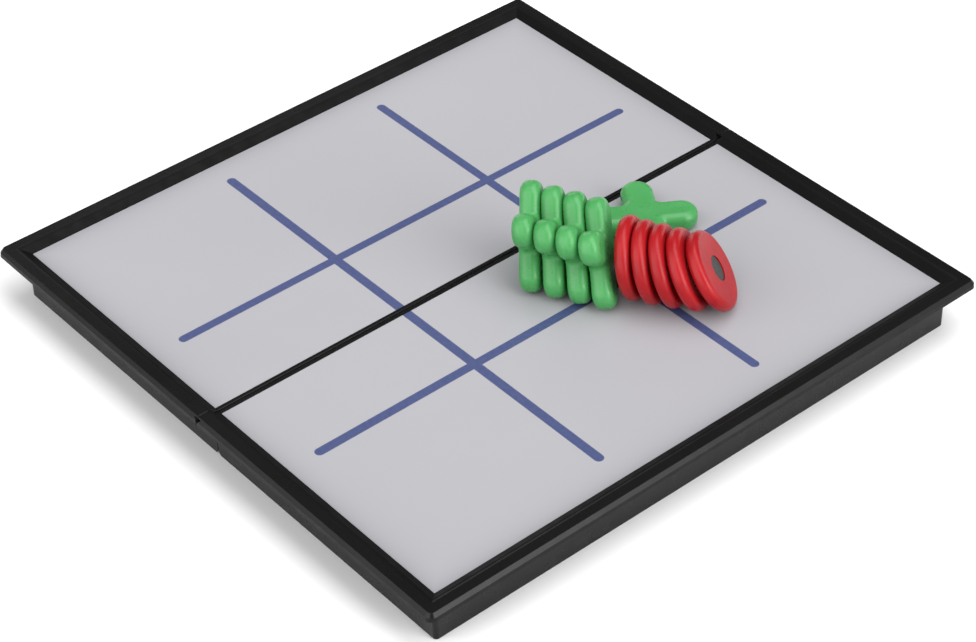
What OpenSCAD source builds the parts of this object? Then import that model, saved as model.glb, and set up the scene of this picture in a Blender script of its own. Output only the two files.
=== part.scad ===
// Folding magnetic tic-tac-toe game: two hinged case halves that open flat
// into one board, a printed play sheet over a thin steel sheet in each half,
// five crosses and five noughts, each with a magnet in it.
// Frame: X runs across the fold line, Y runs along it, Z is up.
// The origin is the centre of the open board, on the surface it stands on.

/* [Case] */
// Width of the open board across the fold line
case_w = 160; // [130:1:200]
// Depth of the board along the fold line
case_d = 161; // [130:1:200]
// Height of the rim's top over the surface it stands on
case_h = 13.6; // [12.6:0.1:18]
// Height of the play sheet's top over the surface it stands on
sheet_z = 12.2; // [11.4:0.1:12.2]
// Width of the rim outside the play sheet
rim_w = 5.9; // [5:0.1:8]
// Run of the slope inside the rim, down to the play sheet
bevel_w = 2.2; // [1:0.1:3]
// Width of the narrow flat facet between that slope and the rim's top
lip_w = 0.8; // [0.3:0.1:1]
// Thickness of the flange that stands out over the side walls
flange_t = 1.9; // [1.6:0.1:2.4]
// Distance from the flange's edge in to the outside of the side walls
wall_inset = 4.8; // [3:0.1:5.4]
// Thickness of the side walls
wall_t = 2.0; // [1.4:0.1:2.6]
// Thickness of the top plate under the steel sheet
plate_t = 1.6; // [1.2:0.1:2.4]
// Corner radius of the flange, seen from above
flange_r = 1.8; // [1.4:0.1:4]
// Height of the chamfer along the flange's top edge
edge_c = 0.9; // [0.5:0.05:1.2]
// Width of the strip between the play sheet and the fold line
strip_w = 1.1; // [1:0.1:3]
// Gap between the two halves at the fold line
seam_gap = 0.3; // [0.2:0.05:0.6]

/* [Sheets] */
// Thickness of the steel sheet
steel_t = 0.3; // [0.2:0.05:0.4]
// Thickness of the printed play sheet
print_t = 0.3; // [0.2:0.05:0.4]
// Gap round the edge of both sheets
sheet_gap = 0.1; // [0.05:0.05:0.3]

/* [Hinge] */
// Distance from the fold line to each pivot
pivot_x = 1.6; // [1.5:0.1:1.8]
// Distance from the fold's centre to the middle of each hinge link, along the fold
link_y = 50; // [30:1:56]
// Length of a hinge link's body along the fold
link_len = 12; // [8:1:16]
// Radius of the link's eyes
link_r = 1.2; // [1.0:0.05:1.3]
// Radius of the link's pins
pin_r = 0.7; // [0.5:0.05:0.75]
// Radial clearance of a pin in its hole
pin_clear = 0.05; // [0.03:0.01:0.08]

/* [Pieces] */
// Length of a cross from tip to tip
x_len = 25.8; // [22:0.2:26]
// Width of a cross's arm
x_arm = 7.8; // [6.6:0.2:8]
// Thickness of a cross
x_t = 5.0; // [4.4:0.1:5]
// Fillet between a cross's arms
x_fillet = 1.2; // [0.8:0.1:1.8]
// Diameter of a nought
o_d = 19.5; // [18:0.5:19.5]
// Thickness of a nought
o_t = 3.4; // [3.2:0.1:3.4]
// Diameter of the magnet in each piece
magnet_d = 6.2; // [5:0.2:7]

/* [Hidden] */
$fn = 64;
hw = case_w / 2;
hd = case_d / 2;
gap = seam_gap / 2;
pivot_z = pivot_x - 0.05;
roll_r = pivot_x - gap;
flange_z = case_h - flange_t;
wall_x = hw - wall_inset;
wall_y = hd - wall_inset;
recess_z = sheet_z - print_t - steel_t;
bevel_z = sheet_z + 0.1;
lip_h = 0.15;
recess_x = hw - rim_w;
recess_y = hd - rim_w;
far = 100;

// The crosses stand in a row: centre of the first one, step to the next, the
// direction they face and how far each one leans back.
X_FIRST = [8.7, 8.2];
X_STEP = [5.05, 2.56];
X_FACE = 41;
X_LEAN = [7, 9.5, 12, 14];
// The noughts stand beside them: x and y of the centre, facing, lean.
O_ROW = [[29.2, 20.4, 36, 13], [32.9, 22.3, 38, 16], [36.5, 24.7, 40, 20], [40.2, 27.4, 42, 25], [43.7, 31.3, 44, 32]];
// The cross that lies flat behind the row: x and y of its centre and its turn
X_FLAT = [13.6, 38.4, 57];
x_edge = 2.0;
o_edge = 1.5;

// Side profile of a block: u from 0 out to r, z from z0 to z1. Its outer top
// edge has a chamfer ct high and a drafted side below it, down to a sharp
// parting edge, or else its outer bottom edge is rounded to rb.
module side_profile(r, z0, z1, ct, rb) {
    union() {
        if (ct > 0) {
            polygon([[0, z0], [r, z0], [r - 0.1, z1 - ct], [r - 0.1 - ct * 0.78, z1], [0, z1]]);
        }
        if (ct == 0) {
            translate([0, z0 + rb]) square([r, z1 - z0 - rb]);
        }
        if (rb > 0) {
            translate([0, z0]) square([r - rb, rb + 0.01]);
            intersection() {
                translate([r - rb, z0 + rb]) circle(r = rb);
                translate([r - rb - 0.001, z0 - 1]) square([rb + 1, rb + 1.01]);
            }
        }
    }
}

// Block from the fold line out to x1, y from -y1 to y1, with its two outer
// corners rounded to r in plan.
module half_block(x1, y1, r, z0, z1, ct, rb) {
    translate([gap, -(y1 - r), z0]) cube([x1 - r - gap, 2 * (y1 - r), z1 - z0]);
    translate([x1 - r, y1 - r, 0]) rotate([90, 0, 0])
        linear_extrude(height = 2 * (y1 - r)) side_profile(r, z0, z1, ct, rb);
    for (s = [-1, 1]) {
        translate([s > 0 ? gap : x1 - r, s * (y1 - r), 0]) rotate([90, 0, s * 90])
            linear_extrude(height = x1 - r - gap) side_profile(r, z0, z1, ct, rb);
        translate([x1 - r, s * (y1 - r), 0]) rotate([0, 0, s > 0 ? 0 : -90])
            rotate_extrude(angle = 90) side_profile(r, z0, z1, ct, rb);
    }
}

// The shallow pocket over the play sheet, with a slope on its three outer sides
// and a narrow facet where the slope meets the rim's top.
module pocket() {
    e = bevel_w * (case_h - lip_h - bevel_z) / (case_h - bevel_z);
    f = e + 2 * lip_w;
    z1 = case_h - lip_h;
    z2 = case_h + lip_h;
    intersection() {
        translate([0, far, 0]) rotate([90, 0, 0]) linear_extrude(height = 2 * far)
            polygon([[-5, bevel_z], [recess_x, bevel_z], [recess_x + e, z1], [recess_x + f, z2], [-5, z2]]);
        translate([-4, 0, 0]) rotate([90, 0, 90]) linear_extrude(height = far)
            polygon([[-recess_y, bevel_z], [recess_y, bevel_z], [recess_y + e, z1], [recess_y + f, z2],
                     [-recess_y - f, z2], [-recess_y - e, z1]]);
    }
}

// Rounds the hinge wall's lower edge about the pivot, so the halves roll over
// each other, and breaks the top edge at the seam.
module seam_cut() {
    translate([0, far, 0]) rotate([90, 0, 0]) linear_extrude(height = 2 * far) {
        difference() {
            translate([-1, -1]) square([1 + pivot_x, 1 + pivot_z]);
            translate([pivot_x, pivot_z]) circle(r = roll_r);
        }
        polygon([[gap - 1, bevel_z - 0.07 - 1], [gap, bevel_z - 0.07], [gap + 0.07, bevel_z], [gap + 1.07, bevel_z + 1], [gap - 1, bevel_z + 1]]);
    }
    for (s = [-1, 1]) translate([0, s * (hd - rim_w / 2) + rim_w, 0]) rotate([90, 0, 0]) linear_extrude(height = 2 * rim_w)
            polygon([[gap - 1, case_h - 0.08 - 1], [gap, case_h - 0.08], [gap + 0.08, case_h], [gap + 1.08, case_h + 1], [gap - 1, case_h + 1]]);
    for (s = [-1, 1]) translate([gap, s * hd, 0]) difference() {
        translate([-1, s > 0 ? -0.4 : -1, flange_z - 3]) cube([1.4, 1.4, flange_t + 5]);
        translate([0.4, -s * 0.4, flange_z - 4]) cylinder(r = 0.4, h = flange_t + 7);
    }
}

// One case half, on the +X side of the fold line.
module tray_half() {
    difference() {
        union() {
            difference() {
                union() {
                    half_block(hw, hd, flange_r, flange_z, case_h, edge_c, 0);
                    half_block(wall_x, wall_y, 1, 0, flange_z + 0.2, 0, 0.4);
                }
                // hollow under the top plate
                translate([gap + wall_t, -(wall_y - wall_t), -1])
                    cube([wall_x - gap - 2 * wall_t, 2 * (wall_y - wall_t), recess_z - plate_t + 1]);
            }
            // lugs that hold the hinge pins
            for (s = [-1, 1]) for (t = [-1, 1])
                translate([gap, s * link_y + t * (link_len / 2 + 0.3 + 1.25) - 1.25, 0])
                    cube([pivot_x + link_r + 0.4 - gap, 2.5, pivot_z + link_r + 0.35]);
        }
        pocket();
        translate([strip_w, -recess_y, recess_z]) cube([recess_x - strip_w, 2 * recess_y, 3]);
        seam_cut();
        // clearance for the links, and the holes for their pins
        for (s = [-1, 1]) {
            translate([-1, s * link_y - link_len / 2 - 0.3, -1])
                cube([1 + pivot_x + link_r + 0.6, link_len + 0.6, 1 + pivot_z + link_r + 0.35]);
            translate([pivot_x, s * link_y + link_len / 2 + 2.5, pivot_z]) rotate([90, 0, 0])
                cylinder(r = pin_r + pin_clear, h = link_len + 5);
        }
    }
}
module right_tray() color([0.13, 0.13, 0.14]) tray_half();
module left_tray() color([0.13, 0.13, 0.14]) mirror([1, 0, 0]) tray_half();

// Flat sheets that lie in the tray's recess.
module sheet(x0, z0, t) {
    translate([x0, -(recess_y - sheet_gap), z0])
        cube([recess_x - strip_w - 2 * sheet_gap, 2 * (recess_y - sheet_gap), t]);
}
module right_steel_sheet() color([0.6, 0.6, 0.62]) sheet(strip_w + sheet_gap, recess_z, steel_t);
module left_steel_sheet() color([0.6, 0.6, 0.62]) sheet(-recess_x + sheet_gap, recess_z, steel_t);
module right_play_sheet() color([0.76, 0.75, 0.79]) sheet(strip_w + sheet_gap, recess_z + steel_t, print_t);
module left_play_sheet() color([0.76, 0.75, 0.79]) sheet(-recess_x + sheet_gap, recess_z + steel_t, print_t);

// Two-pin hinge link: an eye round each pivot, a web between, and a pin
// standing out of both ends of each eye.
module hinge_link(y0) {
    color([0.16, 0.16, 0.17]) translate([0, y0, pivot_z]) {
        for (s = [-1, 1]) translate([s * pivot_x, 0, 0]) {
            translate([0, link_len / 2, 0]) rotate([90, 0, 0]) cylinder(r = link_r, h = link_len);
            translate([0, link_len / 2 + 2, 0]) rotate([90, 0, 0]) cylinder(r = pin_r, h = link_len + 4);
        }
        translate([-pivot_x, -link_len / 2, -0.8]) cube([2 * pivot_x, link_len, 1.6]);
    }
}
module hinge_link_front() hinge_link(-link_y);
module hinge_link_rear() hinge_link(link_y);

// Rounded half section of a disc of radius r and thickness t.
module disc_section(r, t, e) {
    union() {
        translate([0, -t / 2]) square([r - e, t]);
        translate([0, -t / 2 + e]) square([r, t - 2 * e]);
        intersection() {
            for (s = [-1, 1]) translate([r - e, s * (t / 2 - e)]) circle(r = e);
            translate([0, -t]) square([r + 1, 2 * t]);
        }
    }
}
// One bar of a cross: rounded edges all round and round ends.
module bar() {
    e = x_edge;
    k = x_len / 2 - x_arm / 2;
    rotate([90, 0, 90]) translate([0, 0, -k]) linear_extrude(height = 2 * k) union() {
        square([x_arm - 2 * e, x_t], center = true);
        square([x_arm, x_t - 2 * e], center = true);
        for (a = [-1, 1]) for (b = [-1, 1]) translate([a * (x_arm / 2 - e), b * (x_t / 2 - e)]) circle(r = e);
    }
    for (s = [-1, 1]) translate([s * k, 0, 0]) rotate_extrude() disc_section(x_arm / 2, x_t, e);
}
// Web in one corner between two bars. It is hollowed to a fillet in plan, and
// its edges are rounded like the bars' own.
module web() {
    e = x_edge;
    c = x_arm / 2 + x_fillet;
    difference() {
        translate([0, 0, -x_t / 2]) cube([c, c, x_t]);
        translate([c, c, 0]) rotate_extrude() difference() {
            translate([0, -x_t]) square([x_fillet + e, 2 * x_t]);
            for (s = [-1, 1]) translate([x_fillet + e, s * (x_t / 2 - e)]) circle(r = e);
            translate([x_fillet, -(x_t / 2 - e)]) square([2 * e, x_t - 2 * e]);
        }
    }
}
x_mag_h = 2.0;
module cross() {
    color([0.27, 0.74, 0.36]) difference() {
        union() {
            for (a = [0, 90]) rotate([0, 0, a]) bar();
            for (a = [0:90:270]) rotate([0, 0, a]) web();
        }
        translate([0, 0, -x_t / 2 - 1]) cylinder(d = magnet_d, h = 1 + x_mag_h);
    }
}
module cross_magnet() {
    color([0.3, 0.3, 0.31]) translate([0, 0, -x_t / 2 + 0.1]) cylinder(d = magnet_d, h = x_mag_h - 0.1);
}
o_mag_h = 2.4;
module nought() {
    color([0.80, 0.11, 0.13]) difference() {
        rotate_extrude() disc_section(o_d / 2, o_t, o_edge);
        translate([0, 0, -o_t]) cylinder(d = magnet_d, h = 2 * o_t);
    }
}
module nought_magnet() {
    color([0.3, 0.3, 0.31]) translate([0, 0, o_t / 2 - 0.3 - o_mag_h]) cylinder(d = magnet_d, h = o_mag_h);
}

// Stands a flat piece on its edge. p: x, y of its centre, facing and lean.
// h: half height upright, t: thickness, e: rounding of its edge.
module stand(p, h, t, e) {
    translate([p[0], p[1], sheet_z + (h - e) * cos(p[3]) + (t / 2 - e) * sin(p[3]) + e])
        rotate([0, 0, p[2]]) rotate([0, 90 - p[3], 0]) children();
}
module stand_x(i) {
    stand([X_FIRST[0] + i * X_STEP[0], X_FIRST[1] + i * X_STEP[1], X_FACE, X_LEAN[i]],
          (x_len / 2 - x_arm / 2) * cos(45) + x_arm / 2, x_t, x_edge) rotate([0, 0, 45]) children();
}
module stand_o(i) stand(O_ROW[i], o_d / 2, o_t, o_edge) children();
module lay() translate([X_FLAT[0], X_FLAT[1], sheet_z + x_t / 2]) rotate([0, 0, X_FLAT[2]]) children();

module x_piece_1() stand_x(0) cross();
module x_piece_2() stand_x(1) cross();
module x_piece_3() stand_x(2) cross();
module x_piece_4() stand_x(3) cross();
module x_piece_5() lay() cross();
module x_magnet_1() stand_x(0) cross_magnet();
module x_magnet_2() stand_x(1) cross_magnet();
module x_magnet_3() stand_x(2) cross_magnet();
module x_magnet_4() stand_x(3) cross_magnet();
module x_magnet_5() lay() cross_magnet();
module o_piece_1() stand_o(0) nought();
module o_piece_2() stand_o(1) nought();
module o_piece_3() stand_o(2) nought();
module o_piece_4() stand_o(3) nought();
module o_piece_5() stand_o(4) nought();
module o_magnet_1() stand_o(0) nought_magnet();
module o_magnet_2() stand_o(1) nought_magnet();
module o_magnet_3() stand_o(2) nought_magnet();
module o_magnet_4() stand_o(3) nought_magnet();
module o_magnet_5() stand_o(4) nought_magnet();

right_tray();
left_tray();
right_steel_sheet();
left_steel_sheet();
right_play_sheet();
left_play_sheet();
hinge_link_front();
hinge_link_rear();
x_piece_1();
x_piece_2();
x_piece_3();
x_piece_4();
x_piece_5();
x_magnet_1();
x_magnet_2();
x_magnet_3();
x_magnet_4();
x_magnet_5();
o_piece_1();
o_piece_2();
o_piece_3();
o_piece_4();
o_piece_5();
o_magnet_1();
o_magnet_2();
o_magnet_3();
o_magnet_4();
o_magnet_5();
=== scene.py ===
import math

import bpy
from mathutils import Matrix, Vector

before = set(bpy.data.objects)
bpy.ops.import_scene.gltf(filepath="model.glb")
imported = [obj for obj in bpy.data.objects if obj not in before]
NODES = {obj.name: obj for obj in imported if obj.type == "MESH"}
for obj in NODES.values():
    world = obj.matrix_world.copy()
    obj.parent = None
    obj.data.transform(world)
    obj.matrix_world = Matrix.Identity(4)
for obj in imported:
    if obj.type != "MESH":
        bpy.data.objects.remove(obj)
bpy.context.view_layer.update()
MM = 0.001

# ---------------------------------------------------------------- node helpers


class Mat:
    """A node material with a few short-hand calls."""

    def __init__(self, name):
        self.m = bpy.data.materials.new(name)
        self.m.use_nodes = True
        self.nt = self.m.node_tree
        self.nt.nodes.clear()
        self.out = self.n("ShaderNodeOutputMaterial")
        self.p = self.n("ShaderNodeBsdfPrincipled")
        self.link(self.p.outputs["BSDF"], self.out.inputs["Surface"])
        self.obj = self.n("ShaderNodeTexCoord").outputs["Object"]

    def n(self, kind, **props):
        node = self.nt.nodes.new(kind)
        for k, v in props.items():
            setattr(node, k, v)
        return node

    def link(self, a, b):
        self.nt.links.new(a, b)

    def put(self, socket, value):
        if hasattr(value, "is_output"):
            self.link(value, socket)
        else:
            socket.default_value = value

    def math(self, op, a, b=None, c=None, clamp=False):
        node = self.n("ShaderNodeMath", operation=op, use_clamp=clamp)
        for i, v in enumerate((a, b, c)):
            if v is not None:
                self.put(node.inputs[i], v)
        return node.outputs[0]

    def vec(self, op, a, b=None, scale=None):
        node = self.n("ShaderNodeVectorMath", operation=op)
        self.put(node.inputs[0], a)
        if b is not None:
            self.put(node.inputs[1], b)
        if scale is not None:
            self.put(node.inputs["Scale"], scale)
        return node.outputs["Value"] if op in ("LENGTH", "DOT_PRODUCT", "DISTANCE") else node.outputs["Vector"]

    def noise(self, scale, detail=2.0, rough=0.5, vector=None, distortion=0.0):
        node = self.n("ShaderNodeTexNoise")
        self.put(node.inputs["Vector"], vector or self.obj)
        node.inputs["Scale"].default_value = scale
        node.inputs["Detail"].default_value = detail
        node.inputs["Roughness"].default_value = rough
        node.inputs["Distortion"].default_value = distortion
        return node.outputs["Fac"]

    def remap(self, v, lo, hi, a, b, smooth=False):
        node = self.n("ShaderNodeMapRange", clamp=True)
        node.interpolation_type = "SMOOTHSTEP" if smooth else "LINEAR"
        self.put(node.inputs["Value"], v)
        for key, val in (("From Min", lo), ("From Max", hi), ("To Min", a), ("To Max", b)):
            self.put(node.inputs[key], val)
        return node.outputs["Result"]

    def mix(self, fac, a, b):
        node = self.n("ShaderNodeMix", data_type="RGBA")
        node.clamp_factor = True
        self.put(node.inputs["Factor"], fac)
        ins = [i for i in node.inputs if i.type == "RGBA"]
        self.put(ins[0], a)
        self.put(ins[1], b)
        return [o for o in node.outputs if o.type == "RGBA"][0]

    def bump(self, height, distance, strength=1.0, normal=None):
        node = self.n("ShaderNodeBump")
        node.inputs["Distance"].default_value = distance
        node.inputs["Strength"].default_value = strength
        self.put(node.inputs["Height"], height)
        if normal is not None:
            self.link(normal, node.inputs["Normal"])
        return node.outputs["Normal"]

    def bevel(self, radius, samples=4):
        node = self.n("ShaderNodeBevel", samples=samples)
        node.inputs["Radius"].default_value = radius
        return node.outputs["Normal"]

    def xyz(self):
        sep = self.n("ShaderNodeSeparateXYZ")
        self.link(self.obj, sep.inputs[0])
        return sep.outputs[0], sep.outputs[1], sep.outputs[2]

    def set(self, **values):
        for k, v in values.items():
            self.put(self.p.inputs[k.replace("_", " ")], v)


def rgb(r, g, b):
    return (r, g, b, 1.0)


def dress(m, *names):
    for name in names:
        o = NODES[name]
        if not o.material_slots:
            o.data.materials.append(m)
        for s in o.material_slots:
            s.material = m


# ------------------------------------------------------------------- materials


def case_plastic(name, tone=1.0):
    """Black moulded plastic with a half-gloss skin and faint flow marks. The slope inside the rim and the flange's side are matt."""
    k = Mat(name)
    fine = k.noise(5200, 3, 0.62)
    flow = k.noise(26, 3, 0.55, distortion=0.6)
    grime = k.noise(240, 4, 0.6)
    col = k.mix(k.remap(flow, 0.3, 0.7, 0, 1), rgb(0.0022 * tone, 0.0022 * tone, 0.0024 * tone),
                rgb(0.0039 * tone, 0.0039 * tone, 0.0040 * tone))
    x, y, z = k.xyz()
    off = k.math("MAXIMUM", k.math("SUBTRACT", k.math("ABSOLUTE", x), 74.1 * MM),
                 k.math("SUBTRACT", k.math("ABSOLUTE", y), 74.6 * MM))
    slope = k.math("MULTIPLY", k.remap(off, -0.2 * MM, 0.0, 0, 1), k.remap(off, 2.25 * MM, 2.55 * MM, 1, 0))
    slope = k.math("MULTIPLY", slope, k.remap(z, 11.9 * MM, 12.1 * MM, 0, 1))
    side = k.math("MULTIPLY", k.remap(off, 4.0 * MM, 4.5 * MM, 0, 1), k.remap(z, 11.5 * MM, 11.7 * MM, 0, 1))
    side = k.math("MULTIPLY", side, k.remap(z, 12.66 * MM, 12.74 * MM, 0.6, 0))
    slope = k.math("MAXIMUM", slope, side)
    r = k.math("ADD", k.remap(flow, 0.3, 0.7, 0.25, 0.31), k.remap(grime, 0.35, 0.65, -0.02, 0.025))
    r = k.math("ADD", r, k.math("MULTIPLY", slope, 0.28))
    nrm = k.bevel(0.08 * MM)
    nrm = k.bump(k.noise(520, 2, 0.5), 0.006 * MM, 1.0, nrm)
    nrm = k.bump(fine, 0.005 * MM, 1.0, nrm)
    skin = k.math("SUBTRACT", k.remap(grime, 0.3, 0.7, 0.42, 0.34), k.math("MULTIPLY", slope, 0.36), clamp=True)
    k.set(Base_Color=col, Roughness=r, Normal=nrm, Coat_Weight=skin, Coat_Normal=nrm)
    k.p.inputs["IOR"].default_value = 1.47
    k.p.inputs["Specular IOR Level"].default_value = 0.09
    k.p.inputs["Coat Roughness"].default_value = 0.27
    k.p.inputs["Coat IOR"].default_value = 1.47
    return k.m


def segment(k, along, across, at, half, width):
    """Distance from a line's edge: it runs from -half to half along one axis, at a fixed place on the other, with round ends."""
    a = k.math("MAXIMUM", k.math("SUBTRACT", k.math("ABSOLUTE", along), half), 0.0)
    b = k.math("SUBTRACT", across, at)
    d = k.math("SQRT", k.math("ADD", k.math("MULTIPLY", a, a), k.math("MULTIPLY", b, b)))
    return k.math("SUBTRACT", d, width / 2)


def play_print():
    """Pale lilac-grey coated print with the blue grid of two lines each way, and painted shade darkening it toward the
    rim.
    """
    k = Mat("play_print")
    x, y, z = k.xyz()
    lines = [segment(k, y, x, -25.1 * MM, 66 * MM, 2.3 * MM), segment(k, y, x, 25.1 * MM, 66 * MM, 2.4 * MM),
             segment(k, x, y, -22.9 * MM, 66 * MM, 2.4 * MM), segment(k, x, y, 23.2 * MM, 66 * MM, 2.3 * MM)]
    d = lines[0]
    for other in lines[1:]:
        d = k.math("MINIMUM", d, other)
    ragged = k.remap(k.noise(4200, 2, 0.5), 0.25, 0.75, -0.035 * MM, 0.035 * MM)
    ink = k.remap(k.math("ADD", d, ragged), -0.09 * MM, 0.09 * MM, 1, 0, smooth=True)
    tone = k.noise(14, 3, 0.5)
    speck = k.noise(3200, 2, 0.6)
    paper = k.mix(k.remap(tone, 0.3, 0.7, 0, 1), rgb(0.334, 0.329, 0.351), rgb(0.346, 0.341, 0.363))
    paper = k.mix(k.remap(speck, 0.35, 0.75, 0.0, 0.05), paper, rgb(0.29, 0.29, 0.33))
    # Painted shade: the paper is darkened by up to a fifth within a few millimetres of the rim, where the rim's shade
    # falls on the sheet.
    rim = k.math("MINIMUM", k.math("SUBTRACT", 74.1 * MM, k.math("ABSOLUTE", x)),
                 k.math("SUBTRACT", 74.6 * MM, k.math("ABSOLUTE", y)))
    painted_rim_shade = k.math("MULTIPLY", 0.20, k.math("EXPONENT", k.math("MULTIPLY", rim, -1 / (2.6 * MM))))
    paper = k.mix(painted_rim_shade, paper, rgb(0, 0, 0))
    blue = k.mix(k.remap(k.noise(900, 3, 0.6), 0.3, 0.7, 0, 1), rgb(0.046, 0.061, 0.153), rgb(0.061, 0.077, 0.176))
    nrm = k.bump(k.noise(60, 2, 0.5), 0.02 * MM, 0.6)
    nrm = k.bump(k.noise(2600, 2, 0.5), 0.003 * MM, 1.0, nrm)
    nrm = k.bump(ink, 0.006 * MM, 1.0, nrm)
    k.set(Base_Color=k.mix(ink, paper, blue), Normal=nrm,
          Roughness=k.math("SUBTRACT", k.remap(tone, 0.3, 0.7, 0.36, 0.43), k.math("MULTIPLY", ink, 0.05)))
    k.p.inputs["IOR"].default_value = 1.42
    return k.m


def steel_sheet():
    """Bright cold-rolled sheet with its rolling grain along the fold."""
    k = Mat("steel_sheet")
    grain = k.noise(1.0, 3, 0.6, vector=k.vec("MULTIPLY", k.obj, (9000, 300, 9000)))
    cloud = k.noise(120, 3, 0.5)
    col = k.mix(k.remap(cloud, 0.3, 0.7, 0, 1), rgb(0.50, 0.50, 0.51), rgb(0.60, 0.60, 0.61))
    k.set(Base_Color=col, Metallic=1.0, Roughness=k.remap(grain, 0.3, 0.7, 0.28, 0.42), Normal=k.bump(grain, 0.004 * MM))
    return k.m


def piece_plastic(name, dark, light, centre, normal, dull, shine):
    """Glossy moulded plastic with faint swirls and a fine mould seam round its edge."""
    k = Mat(name)
    swirl = k.noise(110, 3, 0.5, distortion=0.8)
    col = k.mix(k.remap(swirl, 0.3, 0.7, 0, 1), dark, light)
    nrm = k.bump(k.noise(240, 2, 0.4), 0.007 * MM, 0.6)
    away = k.vec("DOT_PRODUCT", k.vec("SUBTRACT", k.obj, tuple(centre)), tuple(normal))
    line = k.remap(k.math("ABSOLUTE", away), 0.02 * MM, 0.10 * MM, 1, 0, smooth=True)
    nrm = k.bump(line, 0.02 * MM, 0.8, nrm)
    scuff = k.noise(420, 3, 0.6)
    k.set(Base_Color=col, Normal=nrm, Roughness=k.remap(scuff, 0.3, 0.75, 0.22 + dull, 0.32 + dull))
    k.p.inputs["IOR"].default_value = 1.46
    k.p.inputs["Specular IOR Level"].default_value = shine
    return k.m


def ferrite():
    """Sintered magnet: dark warm grey with a fine grain."""
    k = Mat("ferrite")
    grain = k.noise(5600, 3, 0.7)
    cloud = k.noise(700, 3, 0.5)
    col = k.mix(k.remap(cloud, 0.3, 0.7, 0, 1), rgb(0.036, 0.037, 0.038), rgb(0.060, 0.061, 0.060))
    nrm = k.bevel(0.15 * MM)
    k.set(Base_Color=col, Roughness=k.remap(grain, 0.3, 0.7, 0.42, 0.62), Normal=k.bump(grain, 0.010 * MM, 1.0, nrm),
          Metallic=0.25)
    return k.m


dress(case_plastic("case_plastic"), "right_tray", "left_tray")
dress(case_plastic("hinge_plastic", 1.3), "hinge_link_front", "hinge_link_rear")
dress(steel_sheet(), "right_steel_sheet", "left_steel_sheet")
dress(play_print(), "right_play_sheet", "left_play_sheet")

SHEET_Z = 12.2
FACE = {}


def stand(x, y, facing, lean, half, thick, edge):
    """Centre and facing direction of a piece that stands on its edge."""
    a, e = math.radians(facing), math.radians(lean)
    z = SHEET_Z + (half - edge) * math.cos(e) + (thick / 2 - edge) * math.sin(e) + edge
    return Vector((x, y, z)) * MM, Vector((math.cos(a) * math.cos(e), math.sin(a) * math.cos(e), math.sin(e)))


X_HALF = (25.8 / 2 - 7.8 / 2) * math.cos(math.radians(45)) + 7.8 / 2
for i, lean in enumerate((7, 9.5, 12, 14)):
    FACE[f"x_piece_{i + 1}"] = stand(8.7 + 5.05 * i, 8.2 + 2.56 * i, 41, lean, X_HALF, 5.0, 2.0)
FACE["x_piece_5"] = (Vector((13.6, 38.4, SHEET_Z + 2.5)) * MM, Vector((0, 0, 1)))
for i, (x, y, facing, lean) in enumerate(((29.2, 20.4, 36, 13), (32.9, 22.3, 38, 16), (36.5, 24.7, 40, 20),
                                          (40.2, 27.4, 42, 25), (43.7, 31.3, 44, 32))):
    FACE[f"o_piece_{i + 1}"] = stand(x, y, facing, lean, 9.75, 3.4, 1.5)
for name, (centre, normal) in FACE.items():
    if name[0] == "x":
        dress(piece_plastic("green_" + name, rgb(0.049, 0.264, 0.070), rgb(0.063, 0.300, 0.088), centre, normal, 0.03, 0.42), name)
    else:
        dress(piece_plastic("red_" + name, rgb(0.290, 0.005, 0.008), rgb(0.345, 0.008, 0.011), centre, normal, 0.05, 0.30), name)
magnet = ferrite()
dress(magnet, *[f"{c}_magnet_{i}" for c in "xo" for i in range(1, 6)])

# ------------------------------------------------------------- floor and lights


def floor_material():
    k = Mat("floor_paper")
    soft = k.noise(3, 2, 0.5)
    k.set(Base_Color=k.mix(k.remap(soft, 0.3, 0.7, 0, 1), rgb(0.875, 0.875, 0.875), rgb(0.885, 0.885, 0.885)), Roughness=0.85)
    k.p.inputs["Specular IOR Level"].default_value = 0.15
    return k.m


mesh = bpy.data.meshes.new("floor")
s = 4.0
mesh.from_pydata([(-s, -s, -0.00004), (s, -s, -0.00004), (s, s, -0.00004), (-s, s, -0.00004)], [], [(0, 1, 2, 3)])
mesh.materials.append(floor_material())
floor = bpy.data.objects.new("floor", mesh)
bpy.context.scene.collection.objects.link(floor)

# The studio: a long soft lamp from overhead to the right, a small window to the
# front, walls that get darker towards the back left and behind the camera, and
# a small soft glint low on either side. Seen past the floor it is a plain pale backdrop.
world = bpy.data.worlds.new("studio")
bpy.context.scene.world = world
world.use_nodes = True
wt = world.node_tree
coord = wt.nodes.new("ShaderNodeTexCoord").outputs["Generated"]
parts = wt.nodes.new("ShaderNodeSeparateXYZ")
wt.links.new(coord, parts.inputs[0])
SX, SY, SZ = parts.outputs[0], parts.outputs[1], parts.outputs[2]


def glow(value, start, end, low=0.0, high=1.0):
    node = wt.nodes.new("ShaderNodeMapRange")
    node.interpolation_type = "SMOOTHSTEP"
    wt.links.new(value, node.inputs["Value"])
    for socket, v in (("From Min", start), ("From Max", end), ("To Min", low), ("To Max", high)):
        node.inputs[socket].default_value = v
    return node.outputs["Result"]


def toward(direction):
    node = wt.nodes.new("ShaderNodeVectorMath")
    node.operation = "DOT_PRODUCT"
    wt.links.new(coord, node.inputs[0])
    node.inputs[1].default_value = Vector(direction).normalized()
    return node.outputs["Value"]


def join(operation, first, *others):
    for other in others:
        node = wt.nodes.new("ShaderNodeMath")
        node.operation = operation
        wt.links.new(first, node.inputs[0])
        wt.links.new(other, node.inputs[1])
        first = node.outputs[0]
    return first


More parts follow.
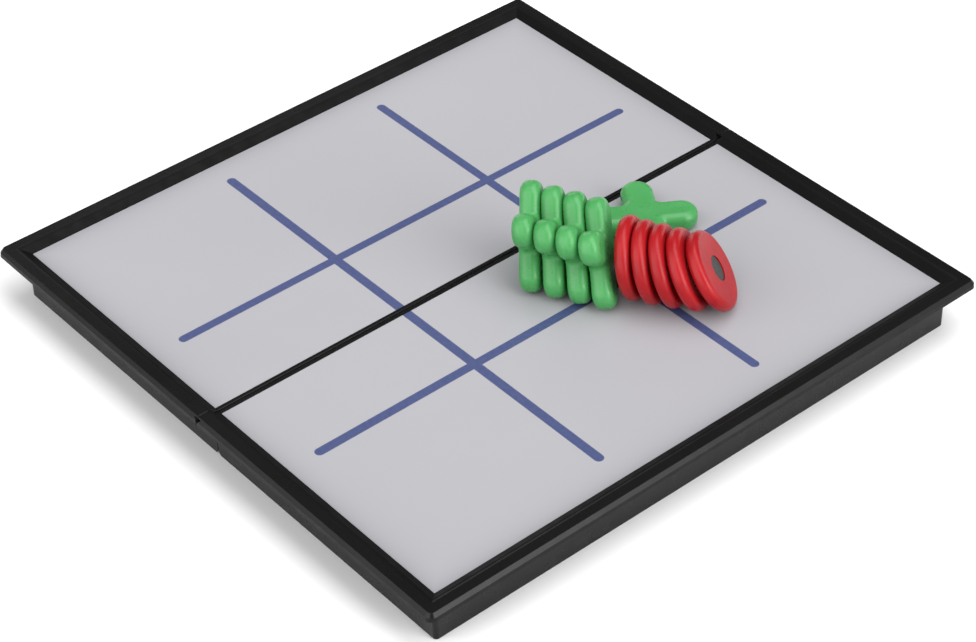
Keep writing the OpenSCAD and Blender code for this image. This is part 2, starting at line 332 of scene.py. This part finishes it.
viewer = glow(toward((0.58, -0.47, 0.66)), 0.86, 0.97, 1.0, 0.35)
walls = join("MULTIPLY", glow(toward((-0.62, 0.66, 0.42)), 0.20, 0.75, 0.62, 0.12), viewer)
lamp = join("MULTIPLY", glow(SY, 0.42, 0.60, 3.35, 0.0), glow(SY, -0.22, -0.02), glow(SX, -0.46, -0.26), glow(SZ, 0.0, 0.1))
window = join("MULTIPLY", glow(toward((0.0, -0.88, 0.47)), 0.66, 0.93, 0.0, 2.1), viewer)
glint = join("ADD", glow(toward((-0.86, 0.40, 0.30)), 0.965, 0.995, 0.0, 1.8), glow(toward((0.86, 0.28, 0.40)), 0.95, 1.0, 0.0, 3.0))
back = wt.nodes["Background"]
back.inputs["Color"].default_value = (1, 1, 1, 1)
seen = wt.nodes.new("ShaderNodeMapRange")
wt.links.new(wt.nodes.new("ShaderNodeLightPath").outputs["Is Camera Ray"], seen.inputs["Value"])
wt.links.new(join("ADD", walls, lamp, window, glint), seen.inputs["To Min"])
seen.inputs["To Max"].default_value = 0.92
wt.links.new(seen.outputs["Result"], back.inputs["Strength"])

# ----------------------------------------------------------------------- camera

az, el, roll = math.radians(50.81), math.radians(39.56), math.radians(-1.65)
target = Vector((0.011695, -0.007804, 0.008))
place = target + 0.61411 * Vector((math.sin(az) * math.cos(el), -math.cos(az) * math.cos(el), math.sin(el)))
ahead = (target - place).normalized()
right = ahead.cross(Vector((0, 0, 1))).normalized()
up = right.cross(ahead)
r2 = right * math.cos(roll) + up * math.sin(roll)
u2 = up * math.cos(roll) - right * math.sin(roll)
cam = bpy.data.objects.new("camera", bpy.data.cameras.new("camera"))
bpy.context.scene.collection.objects.link(cam)
m = Matrix((r2, u2, -ahead)).transposed().to_4x4()
m.translation = place
cam.matrix_world = m
cam.data.sensor_fit = "HORIZONTAL"
cam.data.sensor_width = 36.0
cam.data.lens = 2696.9 * 36.0 / 976
cam.data.clip_start, cam.data.clip_end = 0.05, 20
bpy.context.scene.camera = cam
bpy.context.scene.view_settings.view_transform = "Standard"
bpy.context.scene.view_settings.look = "None"
